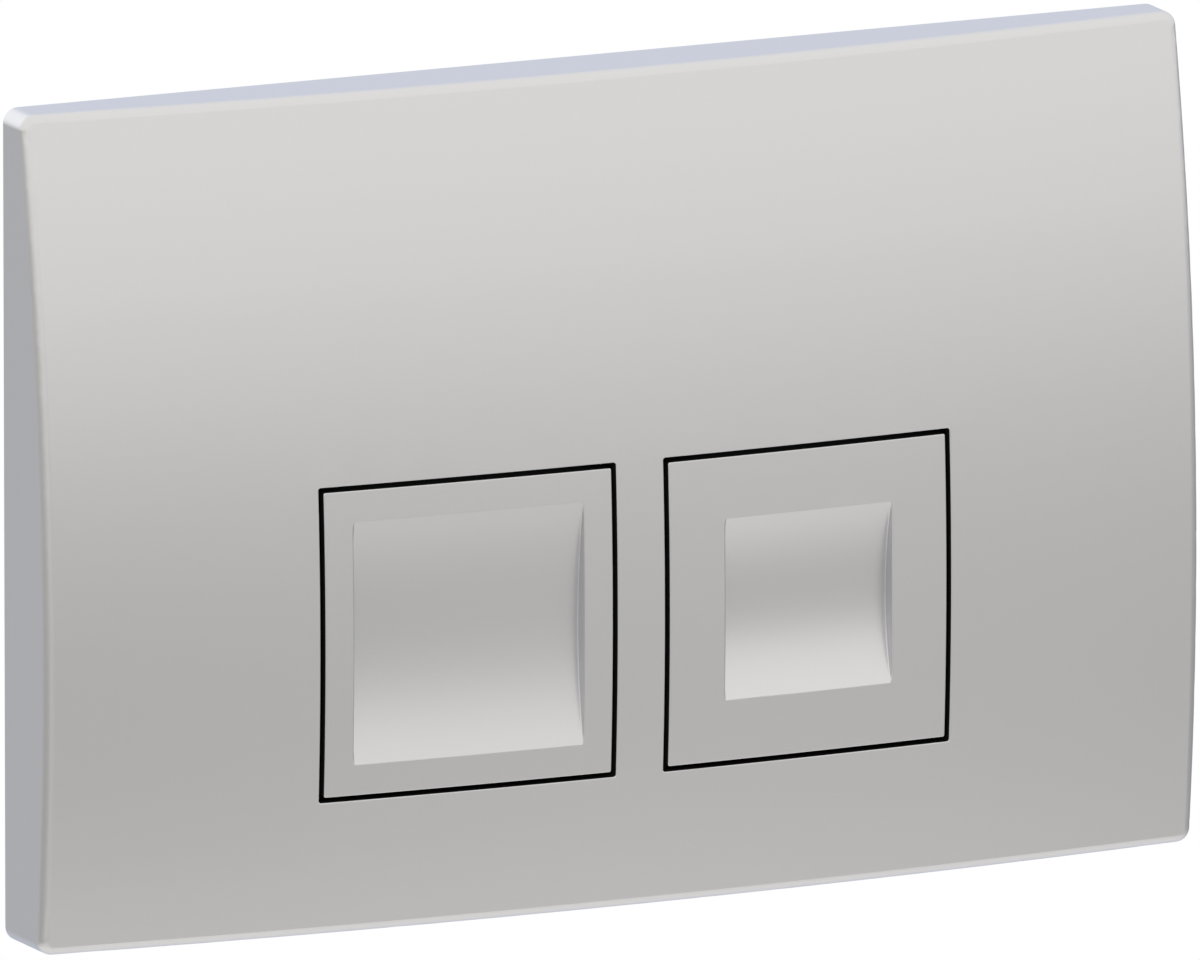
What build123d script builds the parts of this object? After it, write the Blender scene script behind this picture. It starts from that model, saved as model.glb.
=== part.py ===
from build123d import *
import os
from math import asin, cos, degrees, radians, sin, sqrt

# Dual-flush plate for a cistern behind the wall. Millimetres, +Z up. The face looks
# towards -Y and the wall is the plane Y = 0, with the plate's outline centred on the
# origin. A depth is a distance in front of the wall, so depth = -Y.

# Face: outline, and a crown that is curved in plan and in profile
PLATE_WIDTH = 246.0
PLATE_HEIGHT = 164.0
PLATE_CORNER_RADIUS = 3.0
PLATE_EDGE_RADIUS = 1.9
PLATE_DRAFT = 0.5
CROWN_DEPTH = 26.5
PLAN_RADIUS = 1064.0
PROFILE_RADIUS = 520.0
COVER_WALL = 2.5

# Buttons: two flush squares at the crown's height
BUTTON_SIZE = 60.1
BUTTON_BAR = 10.1
BUTTON_Z = -24.2
BUTTON_GAP = 1.0
BUTTON_CORNER_RADIUS = 0.4
BUTTON_EDGE_RADIUS = 0.2
OPENING_CORNER_RADIUS = 0.5
OPENING_EDGE_RADIUS = 0.2
BUTTON_WALL = 2.0
BUTTON_DEPTH = 10.5
BUTTON_RIB = 1.6
BUTTON_RIB_STEP = 1.0

# Finger scoops
FULL_SCOOP_SIZE = 48.0
HALF_SCOOP_SIZE = 36.0
SCOOP_DEPTH = 2.9
SCOOP_FLOOR_RADIUS = 0.25
SCOOP_RIM_RADIUS = 0.4

# Hinges behind the cover, just above the buttons
HINGE_RISE = 3.6
HINGE_SETBACK = 9.5
PIN_RADIUS = 1.5
PIN_END_CHAMFER = 0.3
PIN_OVERHANG = 0.5
PIN_SEAT_CLEARANCE = 0.02
PIN_RUNNING_CLEARANCE = 0.06
KNUCKLE_WALL = 1.7
ARM_THICKNESS = 5.0
LUG_THICKNESS = 3.0
LUG_WALL = 2.2
HINGE_SIDE_CLEARANCE = 0.4
PRESS_ANGLE = 6.5

# Rest stops: lip on the button, rubber buffers in it, landing pads on the cover
LIP_REACH = 6.0
LIP_INSET = 3.0
LIP_THICKNESS = 2.0
BUFFER_SPACING = 36.0
BUFFER_RADIUS = 2.5
BUFFER_HEIGHT = 2.2
BUFFER_STEM_RADIUS = 1.5
BUFFER_TAIL_RADIUS = 2.1
BUFFER_TAIL_HEIGHT = 0.8
BUFFER_DROP = 3.3
BUFFER_CLEARANCE = 0.3
BUFFER_STEM_CLEARANCE = 0.03
LANDING_RADIUS = 4.0

# Push rods with adjusting heads
ROD_DROP = 5.8
ROD_RADIUS = 3.0
ROD_REACH = 60.0
ROD_TIP_CHAMFER = 0.8
ROD_NOTCH_DEPTH = 0.6
ROD_NOTCH_WIDTH = 1.0
ROD_NOTCH_SPACING = 10.0
ROD_NOTCH_COUNT = 4
HEAD_SETBACK = 12.5
HEAD_RADIUS = 6.3
HEAD_THICKNESS = 2.0
HEAD_EDGE_RADIUS = 0.5
HUB_RADIUS = 4.3
HUB_LENGTH = 6.0
HEAD_THREAD_CLEARANCE = 0.05
PUSHER_RADIUS = 4.0
PUSHER_NOSE_RADIUS = 10.0
PUSHER_CLEARANCE = 0.3

# Return springs and guide bushes
SPRING_MEAN_RADIUS = 5.2
SPRING_WIRE_RADIUS = 0.5
SPRING_TURNS = 5.0
SPRING_SEAT_CLEARANCE = 0.02
BUSH_RADIUS = 4.6
BUSH_FLANGE_RADIUS = 6.3
BUSH_FLANGE_THICKNESS = 1.2
BUSH_TAIL = 4.0
BUSH_SEAT_CLEARANCE = 0.03
ROD_RUNNING_CLEARANCE = 0.1

# Mounting frame
FRAME_WIDTH = 204.0
FRAME_TOP = 56.0
FRAME_BOTTOM = -68.0
FRAME_CORNER_RADIUS = 6.0
FRAME_WEB = 2.5
FRAME_DEPTH = 6.5
FRAME_WALL = 2.0
FRAME_RIB = 1.6
FRAME_RIB_ROW = 28.0
WINDOW_WIDTH = 132.0
WINDOW_TOP = 42.0
WINDOW_BOTTOM = -12.0
VALVE_WINDOW_WIDTH = 40.0
VALVE_WINDOW_TOP = -20.0
VALVE_WINDOW_BOTTOM = -56.0
WINDOW_CORNER_RADIUS = 4.0
STOP_PAD_RADIUS = 4.0
STOP_PAD_SPACING = 18.0
STOP_CLEARANCE = 0.3
CUP_CLEARANCE = 0.5
CUP_WALL = 2.0
CUP_COLLAR = 1.5
CUP_FLOOR = 2.5
CUP_REACH = 10.0
CUP_GUSSET_REACH = 6.0
CUP_GUSSET_SETBACK = 3.0
CUP_GUSSET_ANGLES = (45.0, 135.0, 225.0, 315.0)

# Fixing studs, nuts and washers
FIXING_PITCH = 166.0
FIXING_Z = -6.0
STUD_RADIUS = 4.0
STUD_REACH = 62.0
STUD_CHAMFER = 0.8
STUD_NECK_RADIUS = 3.4
STUD_NECK_LENGTH = 3.0
STUD_PROUD = 2.0
STUD_SLOT_CLEARANCE = 0.4
STUD_SLOT_LENGTH = 22.0
STUD_BOSS_WALL = 3.0
NUT_RADIUS = 10.0
NUT_THICKNESS = 7.0
NUT_CHAMFER = 0.8
NUT_GRIP_RADIUS = 1.6
NUT_GRIP_COUNT = 12
NUT_THREAD_CLEARANCE = 0.05
WASHER_RADIUS = 12.0
WASHER_THICKNESS = 1.6
WASHER_HOLE_CLEARANCE = 0.2

# Snap hooks of the cover and the ribs behind its face
HOOK_SPACING = 116.0
HOOK_WIDTH = 10.0
HOOK_THICKNESS = 2.0
HOOK_CLEARANCE = 0.3
HOOK_BARB = 1.6
HOOK_BARB_HEIGHT = 2.2
HOOK_SIDE_CLEARANCE = 0.5
COVER_RIB = 1.6
COVER_RIB_HEIGHT = 4.0
COVER_RIB_COLUMNS = (-82.0, -41.0, 0.0, 41.0, 82.0)
COVER_RIB_ROWS = (20.0, 46.0)
OPENING_RIB_OFFSET = 0.6
OPENING_RIB_HEIGHT = 6.0

# Places that follow from the sizes above
FAR_DEPTH = CROWN_DEPTH + PLATE_HEIGHT
OPENING_SIZE = BUTTON_SIZE + 2 * BUTTON_GAP
BUTTON_PITCH = OPENING_SIZE + BUTTON_BAR
OPENING_TOP = BUTTON_Z + OPENING_SIZE / 2
BUTTON_BACK = CROWN_DEPTH - BUTTON_DEPTH
HINGE_Z = OPENING_TOP + HINGE_RISE
HINGE_DEPTH = CROWN_DEPTH - HINGE_SETBACK
LUG_INNER = BUTTON_SIZE / 2 + HINGE_SIDE_CLEARANCE
LIP_FRONT = BUTTON_BACK + LIP_THICKNESS
BUFFER_FRONT = LIP_FRONT + BUFFER_HEIGHT
BUFFER_Z = BUTTON_Z - BUTTON_SIZE / 2 - BUFFER_DROP
LANDING_DEPTH = BUFFER_FRONT + BUFFER_CLEARANCE
ROD_Z = BUTTON_Z - ROD_DROP
HEAD_FRONT = CROWN_DEPTH - HEAD_SETBACK
HEAD_BACK = HEAD_FRONT - HEAD_THICKNESS
HUB_BACK = HEAD_BACK - HUB_LENGTH
CUP_RADIUS = HEAD_RADIUS + CUP_CLEARANCE
CUP_SEAT = CUP_FLOOR - CUP_REACH
SPRING_BACK = CUP_SEAT + BUSH_FLANGE_THICKNESS
WEB_BACK = FRAME_DEPTH - FRAME_WEB
FRAME_HEIGHT = FRAME_TOP - FRAME_BOTTOM
FRAME_Z = (FRAME_TOP + FRAME_BOTTOM) / 2
WASHER_FRONT = FRAME_DEPTH + WASHER_THICKNESS
NUT_FRONT = WASHER_FRONT + NUT_THICKNESS
PLAN_AXIS = Axis((0, PLAN_RADIUS - CROWN_DEPTH, 0), (0, 0, 1))

SIDES = {"full_flush": -1, "half_flush": 1}
SCOOPS = {"full_flush": FULL_SCOOP_SIZE, "half_flush": HALF_SCOOP_SIZE}
FIXINGS = {"left": -1, "right": 1}


def face_plane(depth):
    """Sketch plane parallel to the wall: X across, Z up, extruding towards the user."""
    return Plane(origin=(0, -depth, 0), x_dir=(1, 0, 0), z_dir=(0, -1, 0))


def prism(sketch, back, front):
    """A sketch in X and Z, extruded from one depth to another."""
    return extrude(face_plane(back) * sketch, amount=front - back)


def rod_along_y(x, z, radius, back, front):
    return prism(Pos(x, z) * Circle(radius), back, front)


def block(x_range, z_range, back, front):
    width = x_range[1] - x_range[0]
    height = z_range[1] - z_range[0]
    return prism(Pos(x_range[0] + width / 2, z_range[0] + height / 2) * Rectangle(width, height), back, front)


def along_x(sketch, x_start, x_end):
    """A sketch in Y and Z, extruded across the plate."""
    return extrude(Plane.YZ.offset(x_start) * sketch, amount=x_end - x_start)


def turn_in_plan(profile):
    """A profile in the middle plane, turned about the plan axis across the whole plate."""
    half_turn = degrees(asin(PLATE_WIDTH / PLAN_RADIUS))
    return revolve(profile, axis=PLAN_AXIS, revolution_arc=2 * half_turn).rotate(PLAN_AXIS, -half_turn)


def crown(inset):
    """Everything behind the crowned face, set back from it by inset."""
    radius = PROFILE_RADIUS - inset
    centre_y = PROFILE_RADIUS - CROWN_DEPTH
    end_y = centre_y - sqrt(radius**2 - PLATE_HEIGHT**2)
    top = (end_y, BUTTON_Z + PLATE_HEIGHT)
    bottom = (end_y, BUTTON_Z - PLATE_HEIGHT)
    face = ThreePointArc(top, (centre_y - radius, BUTTON_Z), bottom)
    back_y = 2 * CROWN_DEPTH
    back = Polyline(bottom, (back_y, bottom[1]), (back_y, top[1]), top)
    return turn_in_plan(Plane.YZ * make_face([face, back]))


def crowned_block(inset, corner_radius):
    """The drafted outline of the plate, closed in front by the crown, both set in by inset."""
    outline = RectangleRounded(PLATE_WIDTH - 2 * inset, PLATE_HEIGHT - 2 * inset, corner_radius)
    return extrude(face_plane(0) * outline, amount=2 * CROWN_DEPTH, taper=PLATE_DRAFT) & crown(inset)


def front_edges(solid):
    return solid.faces().sort_by(Axis.Y)[0].edges()


def button_centre(flush):
    return SIDES[flush] * BUTTON_PITCH / 2


def scoop_wheel(flush, grow):
    """The wheel that hollows a button: zero depth at its upper and lower edge, flat cheeks."""
    half = SCOOPS[flush] / 2
    face_sag = PROFILE_RADIUS - sqrt(PROFILE_RADIUS**2 - half**2)
    rise = SCOOP_DEPTH - face_sag
    floor_radius = (half**2 + rise**2) / (2 * rise)
    centre_y = SCOOP_DEPTH - CROWN_DEPTH - floor_radius
    radius = floor_radius + grow
    top = (centre_y, BUTTON_Z + radius)
    bottom = (centre_y, BUTTON_Z - radius)
    floor = ThreePointArc(top, (centre_y + radius, BUTTON_Z), bottom)
    wheel = turn_in_plan(Plane.YZ * make_face([floor, Line(bottom, top)]))
    x = button_centre(flush)
    reach = half + grow
    return wheel & block((x - reach, x + reach), (-PLATE_HEIGHT, PLATE_HEIGHT), 0, FAR_DEPTH)


def scoop(flush):
    """The hollow of a button's face, rounded where its floor meets its cheeks."""
    wheel = scoop_wheel(flush, 0)
    floor_edges = wheel.faces().filter_by(Plane.YZ).edges().filter_by(GeomType.LINE, reverse=True)
    return fillet(floor_edges, SCOOP_FLOOR_RADIUS)


def scoop_rims(solid, flush):
    """The front edges of a scoop's cheeks, on a button that is still solid behind it."""
    x = button_centre(flush)
    cheeks = solid.faces().filter_by(Plane.YZ).sort_by(lambda face: abs(face.center().X - x))[:2]
    return [cheek.edges().sort_by(Axis.Y)[0] for cheek in cheeks]


def button_core(flush, inset, back):
    """The button's outline behind its face and round its scoop, set in by inset."""
    size = BUTTON_SIZE - 2 * inset
    outline = Pos(button_centre(flush), BUTTON_Z) * Rectangle(size, size)
    return (prism(outline, back, FAR_DEPTH) & crown(inset)) - scoop_wheel(flush, inset)


def buffer_places(flush):
    """X of the two rest stops of a button."""
    x = button_centre(flush)
    return (x - BUFFER_SPACING / 2, x + BUFFER_SPACING / 2)


def hinge_arms(flush):
    """Two knuckled arms that reach up behind the cover from the top of the skirt."""
    knuckle_radius = PIN_RADIUS + PIN_RUNNING_CLEARANCE + KNUCKLE_WALL
    knuckle = Pos(-HINGE_DEPTH, HINGE_Z) * Circle(knuckle_radius)
    root_top = BUTTON_Z + BUTTON_SIZE / 2
    root_height = 2 * BUTTON_WALL
    root_depth = 2 * BUTTON_WALL
    root = Pos(-BUTTON_BACK - root_depth / 2, root_top - root_height / 2) * Rectangle(root_depth, root_height)
    profile = make_hull(knuckle.edges() + root.edges())
    profile -= Pos(-HINGE_DEPTH, HINGE_Z) * Circle(PIN_RADIUS + PIN_RUNNING_CLEARANCE)
    x = button_centre(flush)
    outer = BUTTON_SIZE / 2
    inner = outer - ARM_THICKNESS
    return along_x(profile, x - outer, x - inner) + along_x(profile, x + inner, x + outer)


def rest_lip(flush):
    """Lip under the lower edge that the cover holds back, with holes for the buffers."""
    x = button_centre(flush)
    lower_edge = BUTTON_Z - BUTTON_SIZE / 2
    half = BUTTON_SIZE / 2 - LIP_INSET
    z_range = (lower_edge - LIP_REACH, lower_edge + BUTTON_WALL)
    lip = block((x - half, x + half), z_range, BUTTON_BACK, LIP_FRONT)
    hole_radius = BUFFER_STEM_RADIUS + BUFFER_STEM_CLEARANCE
    for place in buffer_places(flush):
        lip -= rod_along_y(place, BUFFER_Z, hole_radius, BUTTON_BACK, LIP_FRONT)
    return lip


def pusher(flush):
    """Domed boss behind the scoop that works the push rod's head."""
    x = button_centre(flush)
    tip = HEAD_FRONT + PUSHER_CLEARANCE
    dome = Pos(x, -tip - PUSHER_NOSE_RADIUS, ROD_Z) * Sphere(PUSHER_NOSE_RADIUS)
    boss = rod_along_y(x, ROD_Z, PUSHER_RADIUS, tip, tip + PUSHER_NOSE_RADIUS)
    return (boss & dome) - scoop_wheel(flush, BUTTON_WALL / 2)


def button(flush):
    """Hollow button with crossed ribs, hinge arms, pusher boss and rest lip."""
    x = button_centre(flush)
    outline = Pos(x, BUTTON_Z) * RectangleRounded(BUTTON_SIZE, BUTTON_SIZE, BUTTON_CORNER_RADIUS)
    body = prism(outline, BUTTON_BACK, FAR_DEPTH) & crown(0)
    body = fillet(front_edges(body), BUTTON_EDGE_RADIUS)
    body -= scoop(flush)
    body = fillet(scoop_rims(body, flush), SCOOP_RIM_RADIUS)
    body -= button_core(flush, BUTTON_WALL, BUTTON_BACK)
    half_rib = BUTTON_RIB / 2
    reach = BUTTON_SIZE / 2
    ribs = block((x - half_rib, x + half_rib), (BUTTON_Z - reach, BUTTON_Z + reach), 0, FAR_DEPTH)
    ribs += block((x - reach, x + reach), (ROD_Z - half_rib, ROD_Z + half_rib), 0, FAR_DEPTH)
    body += ribs & button_core(flush, BUTTON_WALL / 2, BUTTON_BACK + BUTTON_RIB_STEP)
    return body + pusher(flush) + hinge_arms(flush) + rest_lip(flush)


def hinge_pin(flush):
    reach = LUG_INNER + LUG_THICKNESS + PIN_OVERHANG
    x = button_centre(flush)
    pin = along_x(Pos(-HINGE_DEPTH, HINGE_Z) * Circle(PIN_RADIUS), x - reach, x + reach)
    return chamfer(pin.edges().filter_by(GeomType.CIRCLE), PIN_END_CHAMFER)


def stop_buffers(flush):
    """Two rubber buttons pulled through the lip, each with a head, a stem and a tail."""
    buffers = []
    for x in buffer_places(flush):
        head = rod_along_y(x, BUFFER_Z, BUFFER_RADIUS, LIP_FRONT, BUFFER_FRONT)
        head = fillet(head.edges().sort_by(Axis.Y)[0], BUFFER_RADIUS / 3)
        stem = rod_along_y(x, BUFFER_Z, BUFFER_STEM_RADIUS, BUTTON_BACK, LIP_FRONT)
        tail = rod_along_y(x, BUFFER_Z, BUFFER_TAIL_RADIUS, BUTTON_BACK - BUFFER_TAIL_HEIGHT, BUTTON_BACK)
        tail = chamfer(tail.edges().sort_by(Axis.Y)[-1], BUFFER_TAIL_HEIGHT / 2)
        buffers.append(head + stem + tail)
    return Compound(children=buffers)


def hook_rows():
    """Height of each row of snap hooks and the way its barbs point."""
    return ((FRAME_TOP, -1), (FRAME_BOTTOM, 1))


def snap_hook(x, edge_z, inward):
    """Cantilever arm past the frame's edge, with a barb behind the frame's web."""
    near = edge_z - inward * HOOK_CLEARANCE
    far = near - inward * HOOK_THICKNESS
    barb_tip = near + inward * (HOOK_CLEARANCE + HOOK_BARB)
    barb_front = WEB_BACK - HOOK_CLEARANCE
    barb_back = barb_front - HOOK_BARB_HEIGHT
    x_range = (x - HOOK_WIDTH / 2, x + HOOK_WIDTH / 2)
    arm = block(x_range, sorted((near, far)), barb_back, FAR_DEPTH) & crown(COVER_WALL / 2)
    wedge = make_face(Polyline((-barb_back, near), (-barb_front, near), (-barb_front, barb_tip), close=True))
    return arm + along_x(wedge, *x_range)


def face_rib(x_range, z_range, height):
    """A rib of even height behind the crowned face."""
    band = crown(COVER_WALL / 2) - crown(COVER_WALL + height)
    return band & block(x_range, z_range, 0, FAR_DEPTH)


def hinge_lug(x_range):
    """Rounded ear behind the face that holds one end of a hinge pin."""
    radius = PIN_RADIUS + PIN_SEAT_CLEARANCE + LUG_WALL
    hinge = Pos(-HINGE_DEPTH, HINGE_Z)
    neck = block(x_range, (HINGE_Z - radius, HINGE_Z + radius), HINGE_DEPTH, FAR_DEPTH)
    ear = along_x(hinge * Circle(radius), *x_range) + (neck & crown(COVER_WALL / 2))
    return ear - along_x(hinge * Circle(PIN_RADIUS + PIN_SEAT_CLEARANCE), *x_range)


def opening_frame(flush):
    """What the cover carries round one button: side ribs, hinge lugs and landing pads."""
    x = button_centre(flush)
    rib_inner = OPENING_SIZE / 2 + OPENING_RIB_OFFSET
    rib_z = (BUTTON_Z - OPENING_SIZE / 2, OPENING_TOP)
    pieces = []
    for side in (-1, 1):
        rib_x = sorted((x + side * rib_inner, x + side * (rib_inner + COVER_RIB)))
        pieces.append(face_rib(rib_x, rib_z, OPENING_RIB_HEIGHT))
        lug_x = sorted((x + side * LUG_INNER, x + side * (LUG_INNER + LUG_THICKNESS)))
        pieces.append(hinge_lug(lug_x))
    for place in buffer_places(flush):
        pad = rod_along_y(place, BUFFER_Z, LANDING_RADIUS, LANDING_DEPTH, FAR_DEPTH)
        clear_of_button = block((x - OPENING_SIZE, x + OPENING_SIZE), (-PLATE_HEIGHT, rib_z[0]), 0, FAR_DEPTH)
        pieces.append(pad & clear_of_button & crown(COVER_WALL / 2))
    return pieces


def stiffening_ribs():
    """Grid of ribs behind the upper half of the face, run into the side walls."""
    inner = crowned_block(COVER_WALL / 2, PLATE_CORNER_RADIUS / 2)
    half = COVER_RIB / 2
    top = PLATE_HEIGHT / 2
    side = PLATE_WIDTH / 2
    ribs = []
    for x in COVER_RIB_COLUMNS:
        ribs.append(face_rib((x - half, x + half), (COVER_RIB_ROWS[0], top), COVER_RIB_HEIGHT))
    for z in COVER_RIB_ROWS:
        ribs.append(face_rib((-side, side), (z - half, z + half), COVER_RIB_HEIGHT))
    return [rib & inner for rib in ribs]


def front_cover():
    """Crowned shell with two openings and everything that is moulded behind its face."""
    cover = crowned_block(0, PLATE_CORNER_RADIUS)
    cover = fillet(front_edges(cover), PLATE_EDGE_RADIUS)
    cover -= crowned_block(COVER_WALL, PLATE_CORNER_RADIUS / 3)
    opening = RectangleRounded(OPENING_SIZE, OPENING_SIZE, OPENING_CORNER_RADIUS)
    for flush in SIDES:
        cover -= prism(Pos(button_centre(flush), BUTTON_Z) * opening, 0, FAR_DEPTH)
    face = cover.faces().sort_by(Axis.Y)[0]
    cover = fillet([edge for wire in face.inner_wires() for edge in wire.edges()], OPENING_EDGE_RADIUS)
    details = stiffening_ribs()
    for flush in SIDES:
        details += opening_frame(flush)
    for edge_z, inward in hook_rows():
        details += [snap_hook(side * HOOK_SPACING / 2, edge_z, inward) for side in (-1, 1)]
    return cover.fuse(*details)


def ring(sketch, wall, back, front):
    """A wall that follows the inside of an outline."""
    return prism(sketch - offset(sketch, -wall), back, front)


def frame_windows():
    """Sketches of the frame's two windows."""
    upper = Pos(0, (WINDOW_TOP + WINDOW_BOTTOM) / 2)
    upper *= RectangleRounded(WINDOW_WIDTH, WINDOW_TOP - WINDOW_BOTTOM, WINDOW_CORNER_RADIUS)
    lower = Pos(0, (VALVE_WINDOW_TOP + VALVE_WINDOW_BOTTOM) / 2)
    height = VALVE_WINDOW_TOP - VALVE_WINDOW_BOTTOM
    lower *= RectangleRounded(VALVE_WINDOW_WIDTH, height, WINDOW_CORNER_RADIUS)
    return (upper, lower)


def fixing_slot(extra):
    """Outline of a stud slot, grown by extra."""
    radius = STUD_RADIUS + STUD_SLOT_CLEARANCE + extra
    return SlotOverall(STUD_SLOT_LENGTH + 2 * extra, 2 * radius)


def stop_pad_front():
    """Depth of the pads that the lip's lower edge lands on at the end of the press."""
    below = BUTTON_Z - BUTTON_SIZE / 2 - LIP_REACH - HINGE_Z
    behind = BUTTON_BACK - HINGE_DEPTH
    angle = radians(PRESS_ANGLE)
    return HINGE_DEPTH + behind * cos(angle) + below * sin(angle) - STOP_CLEARANCE


def guide_cup(flush):
    """Deep cup round a push rod that holds the spring and the bush."""
    x = button_centre(flush)
    front = FRAME_DEPTH + CUP_COLLAR
    return rod_along_y(x, ROD_Z, CUP_RADIUS + CUP_WALL, -CUP_REACH, front)


def cup_gussets(flush):
    """Tapered fins between the web's back and the wall of a cup."""
    root = CUP_RADIUS + CUP_WALL / 2
    tip = CUP_RADIUS + CUP_WALL + CUP_GUSSET_REACH
    fin_end = (root, CUP_REACH - CUP_GUSSET_SETBACK)
    fin = make_face(Polyline((root, -WEB_BACK), (tip, -WEB_BACK), fin_end, close=True))
    fins = []
    for angle in CUP_GUSSET_ANGLES:
        outward = (cos(radians(angle)), 0, sin(radians(angle)))
        side = (sin(radians(angle)), 0, -cos(radians(angle)))
        plane = Plane(origin=(button_centre(flush), 0, ROD_Z), x_dir=outward, z_dir=side)
        fins.append(extrude(plane * fin, amount=FRAME_RIB / 2, both=True))
    return fins


def frame_ribs():
    """Ribs behind the web that tie the walls to the stud slots and the rod cups."""
    half = FRAME_RIB / 2
    side = FRAME_WIDTH / 2 - FRAME_WALL / 2
    window_side = (WINDOW_WIDTH + FRAME_WALL) / 2
    valve_side = (VALVE_WINDOW_WIDTH + FRAME_WALL) / 2
    z_range = (FRAME_BOTTOM + FRAME_WALL / 2, FRAME_TOP - FRAME_WALL / 2)
    ribs = []
    for x in (-FIXING_PITCH / 2, FIXING_PITCH / 2):
        ribs.append(block((x - half, x + half), z_range, 0, FRAME_DEPTH))
    for inner, z in ((window_side, FRAME_RIB_ROW), (valve_side, ROD_Z)):
        for x_range in ((-side, -inner), (inner, side)):
            ribs.append(block(x_range, (z - half, z + half), 0, FRAME_DEPTH))
    return ribs


def mounting_frame():
    """Moulded frame: ribbed web with turned-back walls, windows, rod cups, stud slots and hook notches."""
    outline = Pos(0, FRAME_Z) * RectangleRounded(FRAME_WIDTH, FRAME_HEIGHT, FRAME_CORNER_RADIUS)
    frame = prism(outline, WEB_BACK, FRAME_DEPTH) + ring(outline, FRAME_WALL, 0, FRAME_DEPTH)
    frame = frame.fuse(*frame_ribs())
    for window in frame_windows():
        frame += prism(offset(window, FRAME_WALL), 0, FRAME_DEPTH)
        frame -= prism(window, 0, FRAME_DEPTH)
    for flush in SIDES:
        frame = frame.fuse(guide_cup(flush), *cup_gussets(flush))
        for side in (-1, 1):
            x = button_centre(flush) + side * STOP_PAD_SPACING / 2
            frame += rod_along_y(x, BUFFER_Z, STOP_PAD_RADIUS, WEB_BACK, stop_pad_front())
    for flush in SIDES:
        x = button_centre(flush)
        frame -= rod_along_y(x, ROD_Z, CUP_RADIUS, CUP_SEAT, FRAME_DEPTH + CUP_COLLAR)
        frame -= rod_along_y(x, ROD_Z, BUSH_RADIUS + BUSH_SEAT_CLEARANCE, -CUP_REACH, CUP_SEAT)
    for side in FIXINGS.values():
        place = Pos(side * FIXING_PITCH / 2, FIXING_Z)
        frame += prism(place * fixing_slot(STUD_BOSS_WALL), 0, FRAME_DEPTH)
        frame -= prism(place * fixing_slot(0), 0, FRAME_DEPTH)
    notch_half = HOOK_WIDTH / 2 + HOOK_SIDE_CLEARANCE
    for edge_z, inward in hook_rows():
        z_range = sorted((edge_z, edge_z + inward * (FRAME_WALL + HOOK_BARB)))
        for side in (-1, 1):
            x = side * HOOK_SPACING / 2
            frame -= block((x - notch_half, x + notch_half), z_range, 0, WEB_BACK)
    return frame


def push_rod(flush):
    """Plain rod with break-off notches and a bevelled tip."""
    x = button_centre(flush)
    rod = rod_along_y(x, ROD_Z, ROD_RADIUS, -ROD_REACH, HEAD_BACK)
    rod = chamfer(rod.edges().filter_by(GeomType.CIRCLE).sort_by(Axis.Y)[-1], ROD_TIP_CHAMFER)
    for index in range(1, ROD_NOTCH_COUNT + 1):
        back = -ROD_REACH + index * ROD_NOTCH_SPACING
        notch = rod_along_y(x, ROD_Z, 2 * ROD_RADIUS, back, back + ROD_NOTCH_WIDTH)
        rod -= notch - rod_along_y(x, ROD_Z, ROD_RADIUS - ROD_NOTCH_DEPTH, back, back + ROD_NOTCH_WIDTH)
    return rod


def rod_head(flush):
    """Adjusting head: a disc that the pusher works on, with a threaded hub."""
    x = button_centre(flush)
    disc = rod_along_y(x, ROD_Z, HEAD_RADIUS, HEAD_BACK, HEAD_FRONT)
    disc = fillet(disc.edges().filter_by(GeomType.CIRCLE).sort_by(Axis.Y)[0], HEAD_EDGE_RADIUS)
    head = disc + rod_along_y(x, ROD_Z, HUB_RADIUS, HUB_BACK, HEAD_BACK)
    return head - rod_along_y(x, ROD_Z, ROD_RADIUS + HEAD_THREAD_CLEARANCE, HUB_BACK, HEAD_BACK)


def return_spring(flush):
    """Compression coil between the bush's flange and the head's disc."""
    wire_gap = SPRING_WIRE_RADIUS + SPRING_SEAT_CLEARANCE
    length = HEAD_BACK - SPRING_BACK - 2 * wire_gap
    start = (button_centre(flush), -SPRING_BACK - wire_gap, ROD_Z)
    path = Helix(length / SPRING_TURNS, length, SPRING_MEAN_RADIUS, center=start, direction=(0, -1, 0))
    wire = Plane(origin=path @ 0, z_dir=path % 0) * Circle(SPRING_WIRE_RADIUS)
    return sweep(wire, path=path, is_frenet=True)


def guide_bush(flush):
    """Flanged slide bush in the floor of a cup."""
    x = button_centre(flush)
    back = -CUP_REACH - BUSH_TAIL
    bush = rod_along_y(x, ROD_Z, BUSH_RADIUS, back, SPRING_BACK)
    bush += rod_along_y(x, ROD_Z, BUSH_FLANGE_RADIUS, CUP_SEAT, SPRING_BACK)
    return bush - rod_along_y(x, ROD_Z, ROD_RADIUS + ROD_RUNNING_CLEARANCE, back, SPRING_BACK)


def fixing_stud(side):
    """Stud for the nut in front and the wall box behind, with a plain neck at the wall plane."""
    x = FIXINGS[side] * FIXING_PITCH / 2
    front = rod_along_y(x, FIXING_Z, STUD_RADIUS, 0, NUT_FRONT + STUD_PROUD)
    shank = rod_along_y(x, FIXING_Z, STUD_RADIUS, -STUD_REACH, -STUD_NECK_LENGTH)
    front = chamfer(front.edges().filter_by(GeomType.CIRCLE).sort_by(Axis.Y)[0], STUD_CHAMFER)
    shank = chamfer(shank.edges().filter_by(GeomType.CIRCLE).sort_by(Axis.Y)[-1], STUD_CHAMFER)
    return front + rod_along_y(x, FIXING_Z, STUD_NECK_RADIUS, -STUD_NECK_LENGTH, 0) + shank


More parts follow.
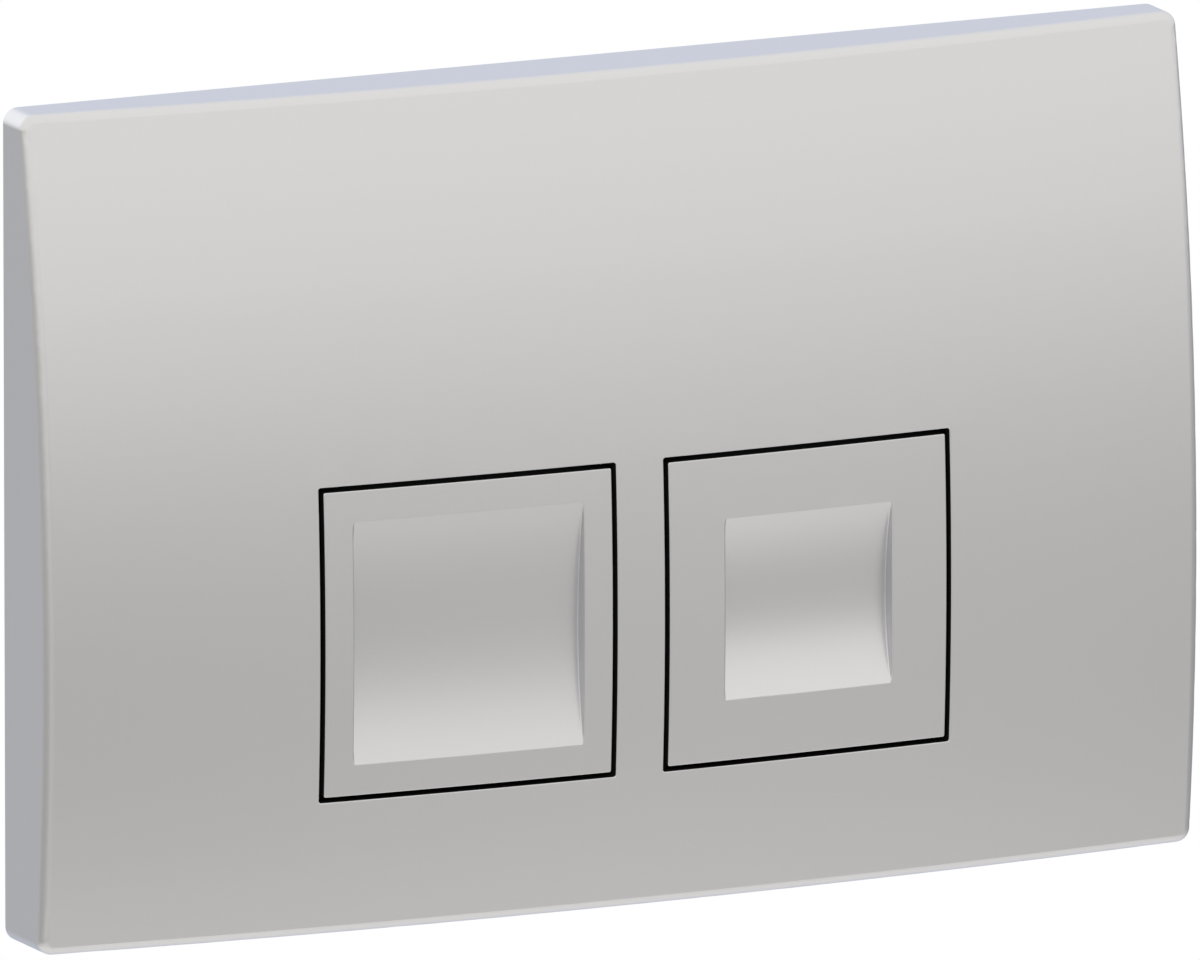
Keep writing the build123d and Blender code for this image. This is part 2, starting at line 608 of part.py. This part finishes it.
def fixing_nut(side):
    """Thumb nut with grip flutes."""
    x = FIXINGS[side] * FIXING_PITCH / 2
    nut = rod_along_y(x, FIXING_Z, NUT_RADIUS, WASHER_FRONT, NUT_FRONT)
    nut = chamfer(nut.edges().filter_by(GeomType.CIRCLE), NUT_CHAMFER)
    flutes = PolarLocations(NUT_RADIUS, NUT_GRIP_COUNT) * Circle(NUT_GRIP_RADIUS)
    nut -= prism(Pos(x, FIXING_Z) * Sketch(children=flutes), WASHER_FRONT, NUT_FRONT)
    return nut - rod_along_y(x, FIXING_Z, STUD_RADIUS + NUT_THREAD_CLEARANCE, WASHER_FRONT, NUT_FRONT)


def fixing_washer(side):
    x = FIXINGS[side] * FIXING_PITCH / 2
    washer = rod_along_y(x, FIXING_Z, WASHER_RADIUS, FRAME_DEPTH, WASHER_FRONT)
    return washer - rod_along_y(x, FIXING_Z, STUD_RADIUS + WASHER_HOLE_CLEARANCE, FRAME_DEPTH, WASHER_FRONT)


def all_pieces():
    """Every node of the plate by name."""
    pieces = {"front_cover": front_cover(), "mounting_frame": mounting_frame()}
    for flush in SIDES:
        pieces[f"{flush}_button"] = button(flush)
        pieces[f"{flush}_hinge_pin"] = hinge_pin(flush)
        pieces[f"{flush}_stop_buffers"] = stop_buffers(flush)
        pieces[f"{flush}_push_rod"] = push_rod(flush)
        pieces[f"{flush}_rod_head"] = rod_head(flush)
        pieces[f"{flush}_return_spring"] = return_spring(flush)
        pieces[f"{flush}_guide_bush"] = guide_bush(flush)
    for side in FIXINGS:
        pieces[f"{side}_fixing_stud"] = fixing_stud(side)
        pieces[f"{side}_fixing_nut"] = fixing_nut(side)
        pieces[f"{side}_fixing_washer"] = fixing_washer(side)
    return pieces


os.makedirs("parts", exist_ok=True)
for name, piece in all_pieces().items():
    export_step(piece, f"parts/{name}.step")
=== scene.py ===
from math import cos, pi, radians, sin

import bmesh
import bpy
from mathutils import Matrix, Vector


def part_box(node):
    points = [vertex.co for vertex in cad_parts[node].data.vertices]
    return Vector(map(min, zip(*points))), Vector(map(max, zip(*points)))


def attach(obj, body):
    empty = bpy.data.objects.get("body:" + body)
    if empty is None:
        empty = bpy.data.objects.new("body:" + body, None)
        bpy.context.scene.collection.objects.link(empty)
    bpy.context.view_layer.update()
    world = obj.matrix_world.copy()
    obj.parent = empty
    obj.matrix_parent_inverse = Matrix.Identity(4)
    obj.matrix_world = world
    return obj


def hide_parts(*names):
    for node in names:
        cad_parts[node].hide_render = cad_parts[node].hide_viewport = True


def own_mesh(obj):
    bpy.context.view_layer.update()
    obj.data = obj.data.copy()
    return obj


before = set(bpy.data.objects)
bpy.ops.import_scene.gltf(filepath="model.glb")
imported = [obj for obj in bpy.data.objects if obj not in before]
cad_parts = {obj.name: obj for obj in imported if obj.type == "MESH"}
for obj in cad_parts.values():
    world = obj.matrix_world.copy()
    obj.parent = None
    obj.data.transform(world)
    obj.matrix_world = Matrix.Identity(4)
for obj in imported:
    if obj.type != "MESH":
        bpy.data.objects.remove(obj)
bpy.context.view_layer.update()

# Metres, in the plate's own frame: +X right, +Z up, the wall is Y = 0 and the face looks towards -Y
MM = 0.001
FLUSHES = ("full_flush", "half_flush")
FIXINGS = ("left", "right")

# Face, buttons and scoops
CROWN_DEPTH = 26.5 * MM
PLAN_RADIUS = 1064.0 * MM
PROFILE_RADIUS = 520.0 * MM
BUTTON_Z = -24.2 * MM
SCOOP_SIZES = {"full_flush": 48.0 * MM, "half_flush": 36.0 * MM}
SCOOP_DEPTH = 2.9 * MM

# Cosine of the largest angle between the shading at a triangle's corner and the triangle
SHADING_LIMIT = 0.8

# Satin silver lacquer with fine flakes, and the black plastic under it, which also stands as painted shade
# in the gaps round the buttons
SILVER = (0.73, 0.72, 0.712)
SILVER_GRAZING = (0.65, 0.72, 0.9)
SILVER_METALLIC = 0.9
SILVER_ROUGHNESS = 0.32
FLAKE_SIZE = 0.25 * MM
FLAKE_DEPTH = 0.002 * MM
FLAKE_TONES = (0.98, 1.02)
FLAKE_ROUGHNESS = 0.03
# Near-black under the lacquer: painted shade that keeps the gaps round the buttons dark
BARE_PLASTIC_AND_GAP_SHADE = (0.02, 0.02, 0.0205)
BARE_ROUGHNESS = 0.6
BARE_SPECULAR = 0.0

# Where the lacquer ends: round the edges of the openings, in the scoops, on the rim and corners of the cover
# Beyond these the black shows, painted shade for the gaps round the buttons
LACQUER_WRAP = 0.07 * MM
LACQUER_FADE = 0.06 * MM
SCOOP_LACQUER = 0.9 * MM
COVER_RIM = 2.2 * MM
COVER_CORNER = 5.0 * MM

# Moulded plastics and rubber: colour, roughness, size and depth of the grain
MOULDINGS = {
    "frame_plastic": ((0.17, 0.175, 0.18), 0.5, 0.4 * MM, 0.012 * MM),
    "black_rubber": ((0.02, 0.02, 0.02), 0.75, 0.3 * MM, 0.01 * MM),
    "rod_plastic": ((0.78, 0.77, 0.73), 0.4, 0.5 * MM, 0.005 * MM),
    "head_plastic": ((0.25, 0.26, 0.28), 0.45, 0.4 * MM, 0.008 * MM),
    "bush_plastic": ((0.8, 0.79, 0.75), 0.35, 0.5 * MM, 0.004 * MM),
    "nut_plastic": ((0.25, 0.26, 0.28), 0.45, 0.4 * MM, 0.008 * MM),
    "stud_plastic": ((0.72, 0.71, 0.67), 0.4, 0.5 * MM, 0.005 * MM),
}
GRAIN_ROUGHNESS = 0.06
MOTTLE_GRAINS = 30
MOTTLE_TONES = (0.93, 1.05)

# Bare steels: colour and roughness, with working marks along X
STEELS = {
    "ground_steel": ((0.62, 0.62, 0.63), 0.3),
    "zinc_plate": ((0.6, 0.6, 0.62), 0.35),
    "spring_wire": ((0.55, 0.55, 0.56), 0.3),
}
MARK_SIZE = 0.1 * MM
MARK_DEPTH = 0.003 * MM
MARK_STRETCH = (6.0, 1.0, 1.0)
MARK_TONES = (0.9, 1.0)
MARK_ROUGHNESS = 0.08

# Octaves of noise in flakes, grain and marks, and in the mottle
FINE_DETAIL = 3.0
SOFT_DETAIL = 2.0

# Threads of the fixing studs; a tooth is given as shares of the pitch along it and of the depth
THREAD_PITCH = 1.75 * MM
THREAD_DEPTH = 0.6 * MM
THREAD_TOOTH = ((0.0, 0.0), (0.2, 0.0), (0.45, 1.0), (0.75, 1.0))
THREAD_STEPS = 36
THREAD_SHARP = radians(40)
SPARE_TEETH = 2
WELD = 0.001 * MM
STUD_CHAMFER = 0.8 * MM
STUD_NECK = (0.0, 3.0 * MM)

# Return springs: wire, closed end turns and working turns
WIRE_RADIUS = 0.5 * MM
WIRE_SIDES = 12
WIRE_SHARP = radians(50)
TURN_STEPS = 40
CLOSED_TURNS = 1.0
CLOSED_PITCH = 1.04 * MM
WORKING_TURNS = 4.5

# Camera of the photograph: direction, distance and the point that it looks at, across and up from the origin
CAMERA_AZIMUTH = radians(-24.79)
CAMERA_ELEVATION = radians(12.016)
CAMERA_DISTANCE = 8.5
PICTURE_WIDTH = 232.44 * MM
AIM_RIGHT = 3.06 * MM
AIM_UP = -1.93 * MM
SENSOR_WIDTH = 36.0
CLIP_END = 40.0

# Studio: white surroundings, and a soft lamp behind the plate
WHITE = (1.0, 1.0, 1.0, 1.0)
SKY_STRENGTH = 1.0
SOFTBOX_PLACE = (-0.7, 1.8, 0.8)
SOFTBOX_SIZE = (2.0, 2.0)
SOFTBOX_POWER = 4.0

# Floor under the plate: palest near it as a painted pool of light, darker straight ahead and at both sides
# as painted shade, white to the camera far off
FLOOR_DROP = 0.45
FLOOR_RADIUS = 12.0
FLOOR_SIDES = 96
FLOOR_ROUGHNESS = 0.9
NEAR_POOL_OF_LIGHT_GREY = (0.9, 0.9, 0.9)
FAR_PAINTED_SHADE_GREY = (0.48, 0.48, 0.48)
AHEAD_PAINTED_SHADE_GREY = (0.38, 0.38, 0.38)
SIDE_PAINTED_SHADE_GREY = (0.3, 0.3, 0.3)
# Distances over which the painted shade darkens it and it turns white; squared sines of the directions where
# front and side shade begin
FAR_SHADE_RANGE = (0.35, 1.2)
WHITE_RANGE = (0.25, 0.7)
AHEAD_SHADE_RANGE = (0.02, 0.15)
SIDE_SHADE_RANGE = (0.4, 0.9)


def shade(colour, brightness=1.0):
    """An opaque colour, made lighter or darker."""
    return (*[brightness * part for part in colour], 1.0)


class Finish:
    """A material of one Principled shader on the object's own coordinates."""

    def __init__(self, name, colour, roughness, metallic=0.0):
        self.material = bpy.data.materials.new(name)
        self.material.use_nodes = True
        self.tree = self.material.node_tree
        self.shader = self.tree.nodes["Principled BSDF"]
        self.feed("Base Color", shade(colour))
        self.feed("Roughness", roughness)
        self.feed("Metallic", metallic)
        self.place = self.add("ShaderNodeTexCoord").outputs["Object"]

    def add(self, kind, inputs=(), **settings):
        """A new node with its settings and inputs."""
        node = self.tree.nodes.new(kind)
        for key, value in settings.items():
            setattr(node, key, value)
        for key, value in dict(inputs).items():
            self.join(value, node.inputs[key])
        return node

    def join(self, value, socket):
        """Feeds a socket from another socket or with a value."""
        if isinstance(value, bpy.types.NodeSocket):
            self.tree.links.new(value, socket)
        else:
            socket.default_value = value

    def feed(self, socket, value):
        """Feeds a socket of the shader."""
        self.join(value, self.shader.inputs[socket])

    def maths(self, operation, *values):
        """Result of a sum on values or sockets."""
        return self.add("ShaderNodeMath", dict(enumerate(values)), operation=operation).outputs[0]

    def reach(self, first, second):
        """Distance from the origin of a plane to a point of it."""
        squares = self.maths("MULTIPLY_ADD", first, first, self.maths("MULTIPLY", second, second))
        return self.maths("SQRT", squares)

    def axes(self):
        """X, Y and Z of a point on the object."""
        return self.add("ShaderNodeSeparateXYZ", {0: self.place}).outputs

    def blend(self, share, first, second):
        """Colour between two, each a colour or a socket."""
        return self.add("ShaderNodeMix", {0: share, 6: first, 7: second}, data_type="RGBA").outputs[2]

    def between(self, share, first, second):
        """Value between two, each a number or a socket."""
        return self.add("ShaderNodeMix", {0: share, 2: first, 3: second}, data_type="FLOAT").outputs[0]

    def step(self, value, low, high):
        """Soft step: 0 below the low value, 1 above the high one."""
        inputs = {"Value": value, "From Min": low, "From Max": high}
        return self.add("ShaderNodeMapRange", inputs, interpolation_type="SMOOTHSTEP").outputs[0]

    def noise(self, size, detail, stretch=(1.0, 1.0, 1.0)):
        """Pattern from 0 to 1 of about the given grain size, stretched along the axes."""
        scale = tuple(1.0 / (size * share) for share in stretch)
        moved = self.add("ShaderNodeMapping", {"Vector": self.place, "Scale": scale}).outputs[0]
        return self.add("ShaderNodeTexNoise", {"Vector": moved, "Scale": 1.0, "Detail": detail}).outputs[0]

    def tones(self, pattern, colour, brightness):
        """A colour that a pattern takes from its first brightness to its second."""
        return self.blend(pattern, *[shade(colour, level) for level in brightness])

    def spread(self, pattern, middle, swing):
        """A value that a pattern takes to both sides of its middle."""
        inputs = {"Value": pattern, "To Min": middle - swing, "To Max": middle + swing}
        return self.add("ShaderNodeMapRange", inputs).outputs[0]

    def bump(self, height, depth):
        """Shading of a pattern in relief."""
        return self.add("ShaderNodeBump", {"Height": height, "Distance": depth, "Strength": 1.0}).outputs[0]


def behind_crown(finish):
    """How far a point lies behind the crowned face, its Y with the plan curve taken out, and its rise."""
    x, y, z = finish.axes()
    from_axis = finish.reach(x, finish.maths("SUBTRACT", PLAN_RADIUS - CROWN_DEPTH, y))
    flat = finish.maths("SUBTRACT", PLAN_RADIUS - CROWN_DEPTH, from_axis)
    rise = finish.maths("SUBTRACT", z, BUTTON_Z)
    from_centre = finish.reach(finish.maths("SUBTRACT", PROFILE_RADIUS - CROWN_DEPTH, flat), rise)
    return finish.maths("SUBTRACT", PROFILE_RADIUS, from_centre), flat, rise


def cover_bare_and_gap_shade(finish):
    """Black unlacquered plastic inside the cover, a painted shade for the gaps: behind the face, within the
    rim and the corners of its walls.
    """
    behind, _, _ = behind_crown(finish)
    x, _, z = finish.axes()
    _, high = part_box("front_cover")
    deep = finish.maths("SUBTRACT", behind, LACQUER_WRAP)
    across = finish.maths("SUBTRACT", high.x, finish.maths("ABSOLUTE", x))
    upright = finish.maths("SUBTRACT", high.z, finish.maths("ABSOLUTE", z))
    corner = finish.maths("SUBTRACT", finish.maths("ADD", across, upright), COVER_CORNER)
    wall = finish.maths("SUBTRACT", finish.maths("MINIMUM", across, upright), COVER_RIM)
    inside = finish.maths("MINIMUM", finish.maths("MINIMUM", wall, corner), deep)
    return finish.step(inside, 0.0, LACQUER_FADE)


def button_bare_and_gap_shade(flush):
    """Mask of black plastic behind a button's face, apart from its scoop, a painted shade for the gaps round
    the button.
    """
    low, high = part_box(f"{flush}_button")
    centre_x = (low.x + high.x) / 2
    half = SCOOP_SIZES[flush] / 2
    sag = SCOOP_DEPTH - half**2 / (2 * PROFILE_RADIUS)
    floor_radius = (half**2 + sag**2) / (2 * sag)
    centre_y = SCOOP_DEPTH - CROWN_DEPTH - floor_radius

    def mask(finish):
        behind, flat, rise = behind_crown(finish)
        x, _, _ = finish.axes()
        deep = finish.maths("SUBTRACT", behind, LACQUER_WRAP)
        from_centre = finish.reach(finish.maths("SUBTRACT", flat, centre_y), rise)
        under_floor = finish.maths("SUBTRACT", from_centre, floor_radius + SCOOP_LACQUER)
        beside = finish.maths("ABSOLUTE", finish.maths("SUBTRACT", x, centre_x))
        outside = finish.maths("SUBTRACT", beside, half + SCOOP_LACQUER)
        off_scoop = finish.maths("MAXIMUM", under_floor, outside)
        return finish.step(finish.maths("MINIMUM", deep, off_scoop), 0.0, LACQUER_FADE)

    return mask


def lacquered(name, bare_and_shade_mask):
    """Satin silver lacquer over black plastic; where the mask is 1 the black shows, a painted shade that
    darkens the gaps.
    """
    finish = Finish(name, SILVER, SILVER_ROUGHNESS, SILVER_METALLIC)
    bare_and_shade = bare_and_shade_mask(finish)
    flakes = finish.noise(FLAKE_SIZE, FINE_DETAIL)
    silver = finish.tones(flakes, SILVER, FLAKE_TONES)
    satin = finish.spread(flakes, SILVER_ROUGHNESS, FLAKE_ROUGHNESS)
    # Where the mask is 1 the base colour is near-black, painted shade for the gaps round the buttons
    finish.feed("Base Color", finish.blend(bare_and_shade, silver, shade(BARE_PLASTIC_AND_GAP_SHADE)))
    finish.feed("Metallic", finish.between(bare_and_shade, SILVER_METALLIC, 0.0))
    finish.feed("Roughness", finish.between(bare_and_shade, satin, BARE_ROUGHNESS))
    finish.feed("Specular IOR Level", BARE_SPECULAR)
    finish.feed("Specular Tint", shade(SILVER_GRAZING))
    finish.feed("Normal", finish.bump(flakes, FLAKE_DEPTH))
    return finish.material


def moulded(name):
    """Moulded plastic or rubber with a fine grain and a faint mottle."""
    colour, roughness, grain_size, grain_depth = MOULDINGS[name]
    finish = Finish(name, colour, roughness)
    grain = finish.noise(grain_size, FINE_DETAIL)
    mottle = finish.noise(MOTTLE_GRAINS * grain_size, SOFT_DETAIL)
    finish.feed("Base Color", finish.tones(mottle, colour, MOTTLE_TONES))
    finish.feed("Roughness", finish.spread(grain, roughness, GRAIN_ROUGHNESS))
    finish.feed("Normal", finish.bump(grain, grain_depth))
    return finish.material


def steel(name):
    """Bare steel with fine working marks."""
    colour, roughness = STEELS[name]
    finish = Finish(name, colour, roughness, 1.0)
    marks = finish.noise(MARK_SIZE, FINE_DETAIL, MARK_STRETCH)
    finish.feed("Base Color", finish.tones(marks, colour, MARK_TONES))
    finish.feed("Roughness", finish.spread(marks, roughness, MARK_ROUGHNESS))
    finish.feed("Normal", finish.bump(marks, MARK_DEPTH))
    return finish.material


def dress(node, material):
    """Puts a finish on every slot of a CAD node."""
    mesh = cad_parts[node].data
    if not mesh.materials:
        mesh.materials.append(material)
    for index in range(len(mesh.materials)):
        mesh.materials[index] = material


def dress_nodes():
    """Finishes of all the pieces that keep their CAD shape."""
    dress("front_cover", lacquered("cover_lacquer", cover_bare_and_gap_shade))
    dress("mounting_frame", moulded("frame_plastic"))
    of_flush = {
        "hinge_pin": steel("ground_steel"),
        "stop_buffers": moulded("black_rubber"),
        "push_rod": moulded("rod_plastic"),
        "rod_head": moulded("head_plastic"),
        "guide_bush": moulded("bush_plastic"),
    }
    for flush in FLUSHES:
        for piece, material in of_flush.items():
            dress(f"{flush}_{piece}", material)
    of_fixing = {
        "fixing_nut": moulded("nut_plastic"),
        "fixing_washer": steel("zinc_plate"),
    }
    for side in FIXINGS:
        for piece, material in of_fixing.items():
            dress(f"{side}_{piece}", material)


def placed(mesh):
    """Puts a mesh into the scene as an object at the origin."""
    piece = bpy.data.objects.new(mesh.name, mesh)
    bpy.context.scene.collection.objects.link(piece)
    return piece


def finished(name, shape, material, sharp_angle=pi):
    """Makes an object of a bmesh, smooth apart from edges sharper than an angle."""
    mesh = bpy.data.meshes.new(name)
    shape.to_mesh(mesh)
    shape.free()
    mesh.shade_smooth()
    mesh.set_sharp_from_angle(angle=sharp_angle)
    mesh.materials.append(material)
    return placed(mesh)


def button_shell(flush):
    """The button as it was drawn, with level shading beside the hair-thin triangles of its edges."""
    node = f"{flush}_button"
    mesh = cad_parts[node].data.copy()
    mesh.name = f"{flush}_button_shell"
    normals = [corner.vector.copy() for corner in mesh.corner_normals]
    for face in mesh.polygons:
        for corner in face.loop_indices:
            if normals[corner].dot(face.normal) < SHADING_LIMIT:
                normals[corner] = face.normal.copy()
    mesh.normals_split_custom_set(normals)
    mesh.materials.clear()
    mesh.materials.append(lacquered(f"{flush}_lacquer", button_bare_and_gap_shade(flush)))
    piece = placed(mesh)
    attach(piece, f"{flush}_key")
    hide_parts(node)


def middle_line(node):
    """A point on the axis of a round node that lies along Y."""
    low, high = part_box(node)
    return Vector(((low.x + high.x) / 2, 0.0, (low.z + high.z) / 2))


def cut_flat(shape, y, outward):
    """Cuts a shape off at a plane across Y and closes the cut."""
    geometry = shape.verts[:] + shape.edges[:] + shape.faces[:]
    cut = bmesh.ops.bisect_plane(shape, geom=geometry, plane_co=(0.0, y, 0.0), plane_no=(0.0, outward, 0.0),
                                 clear_outer=True)
    rim = [item for item in cut["geom_cut"] if isinstance(item, bmesh.types.BMEdge)]
    bmesh.ops.edgeloop_fill(shape, edges=rim)


def thread(centre, radius, start, end):
    """Screw thread along Y: a toothed line that climbs one pitch in a turn, cut flat at both ends."""
    shape = bmesh.new()
    line = []
    for tooth in range(-SPARE_TEETH, int((end - start) / THREAD_PITCH) + SPARE_TEETH):
        for along, out in THREAD_TOOTH:
            y = start + (tooth + along) * THREAD_PITCH
            line.append(shape.verts.new((centre.x + radius - THREAD_DEPTH * (1 - out), y, centre.z)))
    edges = [shape.edges.new(pair) for pair in zip(line, line[1:])]
    bmesh.ops.spin(shape, geom=line + edges, cent=centre, axis=(0.0, 1.0, 0.0), angle=2 * pi,
                   steps=THREAD_STEPS, dvec=(0.0, THREAD_PITCH / THREAD_STEPS, 0.0), use_merge=False)
    bmesh.ops.remove_doubles(shape, verts=shape.verts[:], dist=WELD)
    cut_flat(shape, end, 1.0)
    cut_flat(shape, start, -1.0)
    bmesh.ops.recalc_face_normals(shape, faces=shape.faces[:])
    return shape


def fixing_stud(side, material):
    """Threaded stud with bevelled ends and a plain neck at the wall plane, where the thread runs out."""
    node = f"{side}_fixing_stud"
    low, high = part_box(node)
    centre = middle_line(node)
    radius = (high.x - low.x) / 2
    shape = thread(centre, radius, low.y, high.y)
    for vert in shape.verts:
        spoke = vert.co - Vector((centre.x, vert.co.y, centre.z))
        from_end = min(vert.co.y - low.y, high.y - vert.co.y)
        from_neck = max(STUD_NECK[0] - vert.co.y, vert.co.y - STUD_NECK[1], 0.0)
        limit = min(radius - STUD_CHAMFER + from_end, radius - THREAD_DEPTH + from_neck)
        if spoke.length > limit:
            vert.co += spoke * (limit / spoke.length - 1)
    piece = finished(f"{side}_threaded_stud", shape, material, THREAD_SHARP)
    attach(piece, "plate")
    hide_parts(node)


def coil(centre, radius, start, end):
    """Wire coil along Y with closed turns at both ends, ground flat there."""
    shape = bmesh.new()
    ring = bmesh.ops.create_circle(shape, segments=WIRE_SIDES, radius=WIRE_RADIUS)["verts"]
    bmesh.ops.translate(shape, verts=ring, vec=(centre.x + radius, start, centre.z))
    last = ring + shape.edges[:]
    closed = CLOSED_TURNS * CLOSED_PITCH
    windings = ((CLOSED_TURNS, closed), (WORKING_TURNS, end - start - 2 * closed), (CLOSED_TURNS, closed))
    for turns, climb in windings:
        steps = round(turns * TURN_STEPS)
        turned = bmesh.ops.spin(shape, geom=last, cent=centre, axis=(0.0, 1.0, 0.0), angle=2 * pi * turns,
                                steps=steps, dvec=(0.0, climb / steps, 0.0), use_merge=False)
        last = turned["geom_last"]
    bmesh.ops.edgeloop_fill(shape, edges=[edge for edge in shape.edges if edge.is_boundary])
    bmesh.ops.recalc_face_normals(shape, faces=shape.faces[:])
    cut_flat(shape, end, 1.0)
    cut_flat(shape, start, -1.0)
    return shape


def return_spring(flush, material):
    """Compression spring between the bush and the rod's head."""
    node = f"{flush}_return_spring"
    low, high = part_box(node)
    centre = middle_line(node)
    shape = coil(centre, (high.x - low.x) / 2 - WIRE_RADIUS, low.y, high.y)
    piece = finished(f"{flush}_coil_spring", shape, material, WIRE_SHARP)
    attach(piece, "plate")
    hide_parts(node)
    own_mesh(piece)


def floor():
    """Round floor below the plate: palest near it as a painted pool of light, darker beyond as painted
    shade, white to the camera further off and clear from below.
    """
    shape = bmesh.new()
    disc = bmesh.ops.create_circle(shape, cap_ends=True, segments=FLOOR_SIDES, radius=FLOOR_RADIUS)["verts"]
    bmesh.ops.translate(shape, verts=disc, vec=(0.0, 0.0, -FLOOR_DROP))
    finish = Finish("pale_floor", NEAR_POOL_OF_LIGHT_GREY, FLOOR_ROUGHNESS)
    x, y, _ = finish.axes()
    away = finish.reach(x, y)
    sideways = finish.maths("POWER", finish.maths("DIVIDE", x, finish.maths("MAXIMUM", away, MM)), 2.0)
    # Painted shade: the floor darker ahead, at the sides and further off; paler near the plate as a painted
    # pool of light
    front = finish.blend(finish.step(sideways, *AHEAD_SHADE_RANGE), shade(AHEAD_PAINTED_SHADE_GREY), shade(FAR_PAINTED_SHADE_GREY))
    far = finish.blend(finish.step(sideways, *SIDE_SHADE_RANGE), front, shade(SIDE_PAINTED_SHADE_GREY))
    finish.feed("Base Color", finish.blend(finish.step(away, *FAR_SHADE_RANGE), shade(NEAR_POOL_OF_LIGHT_GREY), far))
    seen = finish.add("ShaderNodeLightPath").outputs["Is Camera Ray"]
    white = finish.add("ShaderNodeEmission", {"Color": WHITE})
    share = finish.maths("MULTIPLY", finish.step(away, *WHITE_RANGE), seen)
    above = finish.add("ShaderNodeMixShader", {0: share, 1: finish.shader.outputs[0], 2: white.outputs[0]})
    below = finish.maths("MULTIPLY", finish.add("ShaderNodeNewGeometry").outputs["Backfacing"], seen)
    clear = finish.add("ShaderNodeBsdfTransparent")
    choice = finish.add("ShaderNodeMixShader", {0: below, 1: above.outputs[0], 2: clear.outputs[0]})
    finish.join(choice.outputs[0], finish.tree.nodes["Material Output"].inputs["Surface"])
    finished("floor", shape, finish.material)


def surroundings():
    """White surroundings that light the plate softly from all round."""
    world = bpy.data.worlds.new("studio")
    bpy.context.scene.world = world
    world.use_nodes = True
    light = world.node_tree.nodes["Background"]
    light.inputs["Color"].default_value = WHITE
    light.inputs["Strength"].default_value = SKY_STRENGTH


def softbox(name, place, size, power):
    """Soft lamp aimed at the plate."""
    lamp = bpy.data.lights.new(name, "AREA")
    lamp.shape = "RECTANGLE"
    lamp.size, lamp.size_y = size
    lamp.energy = power
    holder = bpy.data.objects.new(name, lamp)
    holder.location = place
    holder.rotation_euler = (-Vector(place)).to_track_quat("-Z", "Y").to_euler()
    bpy.context.scene.collection.objects.link(holder)


def camera():
    """Long lens from the left and a little above, as in the photograph."""
    back = Vector((sin(CAMERA_AZIMUTH) * cos(CAMERA_ELEVATION),
                   -cos(CAMERA_AZIMUTH) * cos(CAMERA_ELEVATION),
                   sin(CAMERA_ELEVATION)))
    right = Vector((cos(CAMERA_AZIMUTH), sin(CAMERA_AZIMUTH), 0.0))
    up = back.cross(right)
    lens = bpy.data.cameras.new("camera")
    lens.sensor_width = SENSOR_WIDTH
    lens.lens = SENSOR_WIDTH * CAMERA_DISTANCE / PICTURE_WIDTH
    lens.clip_end = CLIP_END
    holder = bpy.data.objects.new("camera", lens)
    holder.location = back * CAMERA_DISTANCE + right * AIM_RIGHT + up * AIM_UP
    holder.rotation_mode = "QUATERNION"
    holder.rotation_quaternion = (-back).to_track_quat("-Z", "Y")
    bpy.context.scene.collection.objects.link(holder)
    bpy.context.scene.camera = holder


dress_nodes()
stud_finish = moulded("stud_plastic")
for side in FIXINGS:
    fixing_stud(side, stud_finish)
spring_finish = steel("spring_wire")
for flush in FLUSHES:
    button_shell(flush)
    return_spring(flush, spring_finish)
floor()
surroundings()
softbox("rear_softbox", SOFTBOX_PLACE, SOFTBOX_SIZE, SOFTBOX_POWER)
camera()
bpy.context.scene.view_settings.view_transform = "Standard"
